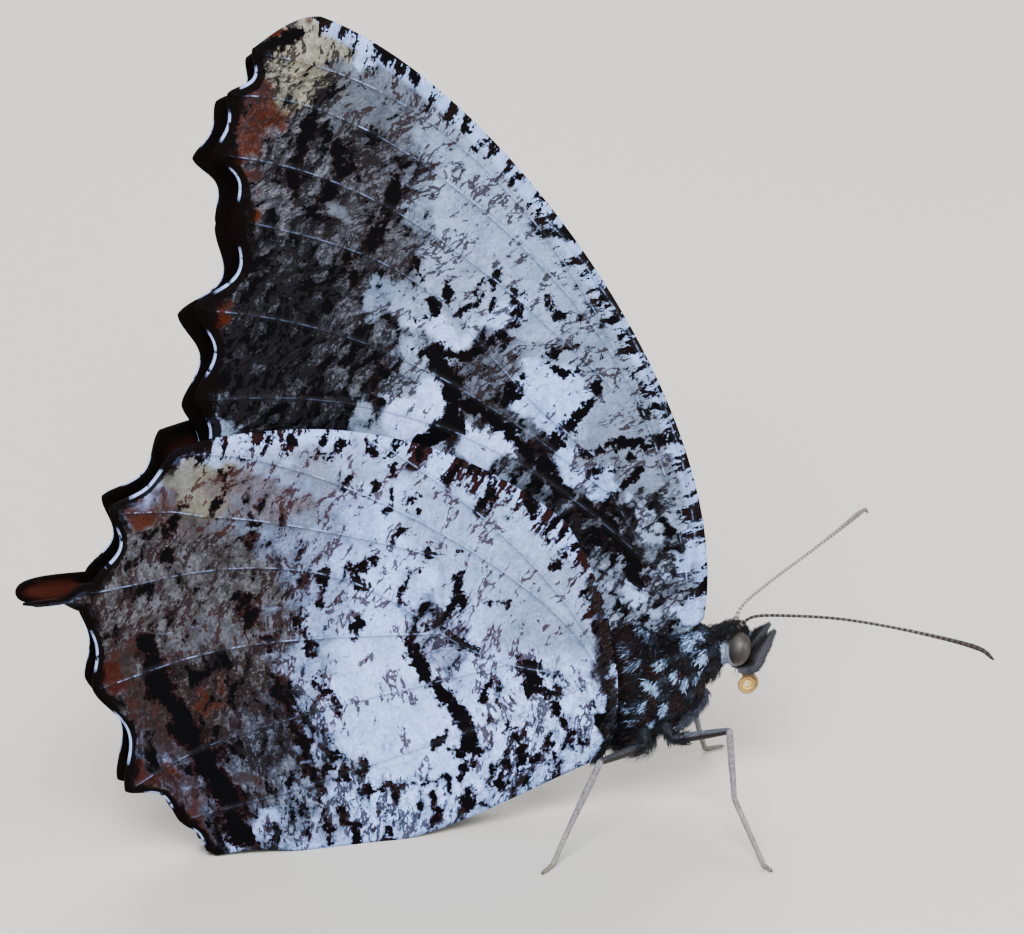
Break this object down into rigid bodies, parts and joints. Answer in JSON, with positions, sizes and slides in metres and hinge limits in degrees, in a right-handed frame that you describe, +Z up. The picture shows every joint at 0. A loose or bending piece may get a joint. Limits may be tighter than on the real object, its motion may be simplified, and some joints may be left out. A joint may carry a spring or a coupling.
{
  "type": "tiger palmfly butterfly",
  "caption": "Life-size butterfly at rest with its wings closed upright over its back, bark-patterned scalloped wings with a short tail, standing on its legs and wing edges",
  "frame": {"origin": "centre of the bounding box in plan, on the floor", "axes": "+X forward to the head, +Y the insect's left, +Z up"},
  "size_m": [0.0534, 0.0232, 0.0494],
  "materials": {
    "thorax": "matt",
    "abdomen": "matt",
    "head": "matt",
    "eye": "satin",
    "palp": "matt",
    "proboscis": "satin",
    "antenna": "matt",
    "leg": "matt",
    "wing": "matt"
  },
  "bodies": {
    "root": {"thorax": "thorax", "abdomen": "abdomen", "head": "head", "eye_right": "eye", "eye_left": "eye", "palp_right": "palp", "palp_left": "palp", "proboscis": "proboscis", "antenna_right": "antenna", "antenna_left": "antenna", "foreleg_right": "leg", "foreleg_left": "leg", "midleg_right": "leg", "midleg_left": "leg", "hindleg_right": "leg", "hindleg_left": "leg", "forewing_right": "wing", "forewing_left": "wing", "hindwing_right": "wing", "hindwing_left": "wing"}
  },
  "joints": []
}
